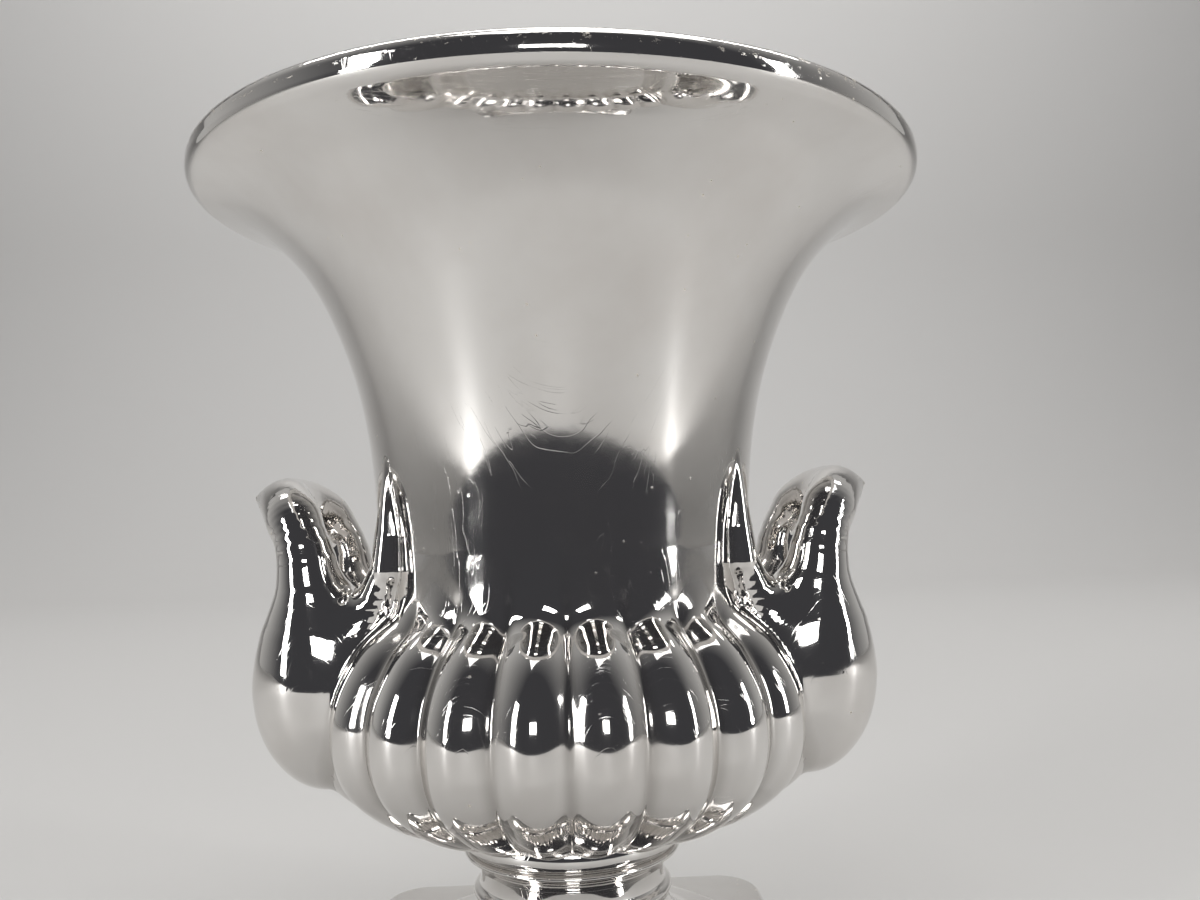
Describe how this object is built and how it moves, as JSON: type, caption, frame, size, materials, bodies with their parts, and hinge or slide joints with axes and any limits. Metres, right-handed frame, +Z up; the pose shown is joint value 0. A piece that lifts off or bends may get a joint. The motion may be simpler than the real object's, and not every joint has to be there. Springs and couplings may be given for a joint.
{
  "type": "urn",
  "caption": "Lustreware urn vase: wide flared bell with a rolled lip, slim neck, lobed bulb, upswept loop handles, ringed socle and square plinth",
  "frame": {"origin": "centre of the plinth's underside, at table height", "axes": "+Z up through the axis of the urn; handles along -X and +X; a plinth side and a lobe face -Y, the front"},
  "size_m": [0.15, 0.15, 0.1767],
  "materials": {
    "silver_lustre": "mirror-bright silver lustre glaze with fine scratches and small pits"
  },
  "bodies": {
    "root": {"urn_body": "silver_lustre", "handle_left": "silver_lustre", "handle_right": "silver_lustre", "socle": "silver_lustre", "plinth": "silver_lustre"}
  },
  "joints": []
}
